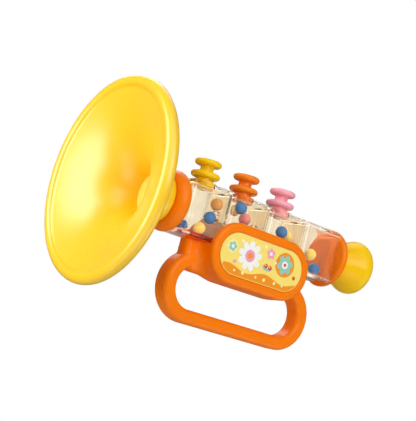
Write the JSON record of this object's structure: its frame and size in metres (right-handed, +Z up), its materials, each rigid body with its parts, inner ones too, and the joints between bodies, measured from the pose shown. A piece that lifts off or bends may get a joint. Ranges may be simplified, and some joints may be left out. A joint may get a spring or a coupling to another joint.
{
  "type": "toy horn",
  "caption": "Toy horn with a flared bell, clear rattle chambers with loose balls, push buttons, a handle loop with an oval label panel, and a mouthpiece.",
  "frame": {"origin": "centre of the bottom of the whole horn's box, under the handle loop", "axes": "+X from the bell to the mouthpiece, +Z up through the push buttons, the label faces -Y"},
  "size_m": [0.135, 0.08, 0.0831],
  "materials": {
    "yellow_plastic": "glossy moulded yellow",
    "orange_plastic": "glossy moulded orange",
    "pink_plastic": "glossy moulded pink",
    "blue_plastic": "glossy moulded blue",
    "clear_plastic": "clear, slightly warm",
    "white_plastic": "plain natural white",
    "printed_label": "smooth print under a clear film",
    "steel": "bright plated steel"
  },
  "bodies": {
    "horn_body": {"bell": "yellow_plastic", "collar_ring": "orange_plastic", "chamber_1": "clear_plastic", "chamber_2": "clear_plastic", "chamber_3": "clear_plastic", "chamber_4": "clear_plastic", "divider_1": "clear_plastic", "divider_2": "clear_plastic", "divider_3": "clear_plastic", "yellow_bush": "yellow_plastic", "orange_bush": "orange_plastic", "pink_bush": "pink_plastic", "yellow_spring": "steel", "orange_spring": "steel", "pink_spring": "steel", "front_housing": "orange_plastic", "rear_housing": "orange_plastic", "front_label": "printed_label", "housing_screw_1": "steel", "housing_screw_2": "steel", "housing_screw_3": "steel", "housing_screw_4": "steel", "end_cap": "orange_plastic", "mouthpiece": "yellow_plastic", "reed_holder": "white_plastic", "reed_tongue": "steel"},
    "yellow_valve": {"yellow_button": "yellow_plastic", "yellow_clip": "white_plastic"},
    "orange_valve": {"orange_button": "orange_plastic", "orange_clip": "white_plastic"},
    "pink_valve": {"pink_button": "pink_plastic", "pink_clip": "white_plastic"},
    "yellow_ball_1_body": {"yellow_ball_1": "yellow_plastic"},
    "blue_ball_1_body": {"blue_ball_1": "blue_plastic"},
    "orange_ball_1_body": {"orange_ball_1": "orange_plastic"},
    "blue_ball_2_body": {"blue_ball_2": "blue_plastic"},
    "blue_ball_3_body": {"blue_ball_3": "blue_plastic"},
    "pink_ball_1_body": {"pink_ball_1": "pink_plastic"},
    "yellow_ball_2_body": {"yellow_ball_2": "yellow_plastic"},
    "blue_ball_4_body": {"blue_ball_4": "blue_plastic"},
    "yellow_ball_3_body": {"yellow_ball_3": "yellow_plastic"},
    "yellow_ball_4_body": {"yellow_ball_4": "yellow_plastic"},
    "blue_ball_5_body": {"blue_ball_5": "blue_plastic"}
  },
  "joints": [
    {"name": "yellow_button_press", "type": "slide", "parent": "horn_body", "child": "yellow_valve", "axis": [0, 0, 1], "range_m": [-0.0012, 0], "stiffness_N_per_m": 150, "springref_m": 0.002, "deforming": ["yellow_spring"]},
    {"name": "orange_button_press", "type": "slide", "parent": "horn_body", "child": "orange_valve", "axis": [0, 0, 1], "range_m": [-0.0012, 0], "stiffness_N_per_m": 150, "springref_m": 0.002, "deforming": ["orange_spring"]},
    {"name": "pink_button_press", "type": "slide", "parent": "horn_body", "child": "pink_valve", "axis": [0, 0, 1], "range_m": [-0.0012, 0], "stiffness_N_per_m": 150, "springref_m": 0.002, "deforming": ["pink_spring"]},
    {"name": "yellow_ball_1_roll", "type": "slide", "parent": "horn_body", "child": "yellow_ball_1_body", "axis": [1, 0, 0], "range_m": [-0.00578, 0.00523]},
    {"name": "blue_ball_1_roll", "type": "slide", "parent": "horn_body", "child": "blue_ball_1_body", "axis": [1, 0, 0], "range_m": [-0.00937, 0.00164]},
    {"name": "orange_ball_1_roll", "type": "slide", "parent": "horn_body", "child": "orange_ball_1_body", "axis": [1, 0, 0], "range_m": [-0.01103, 0]},
    {"name": "blue_ball_2_roll", "type": "slide", "parent": "horn_body", "child": "blue_ball_2_body", "axis": [1, 0, 0], "range_m": [-0.00346, 0.00755]},
    {"name": "blue_ball_3_roll", "type": "slide", "parent": "horn_body", "child": "blue_ball_3_body", "axis": [1, 0, 0], "range_m": [-0.00307, 0.00794]},
    {"name": "pink_ball_1_roll", "type": "slide", "parent": "horn_body", "child": "pink_ball_1_body", "axis": [1, 0, 0], "range_m": [-0.00954, 0.00147]},
    {"name": "yellow_ball_2_roll", "type": "slide", "parent": "horn_body", "child": "yellow_ball_2_body", "axis": [1, 0, 0], "range_m": [-0.00667, 0.00435]},
    {"name": "blue_ball_4_drop", "type": "slide", "parent": "horn_body", "child": "blue_ball_4_body", "axis": [0, 0, 1], "range_m": [-0.00976, 0.00321]},
    {"name": "yellow_ball_3_drop", "type": "slide", "parent": "horn_body", "child": "yellow_ball_3_body", "axis": [0, 0, 1], "range_m": [-0.00896, 0.004]},
    {"name": "yellow_ball_4_roll", "type": "slide", "parent": "horn_body", "child": "yellow_ball_4_body", "axis": [1, 0, 0], "range_m": [-0.00418, 0.00628]},
    {"name": "blue_ball_5_roll", "type": "slide", "parent": "horn_body", "child": "blue_ball_5_body", "axis": [1, 0, 0], "range_m": [-0.00786, 0.0026]}
  ]
}
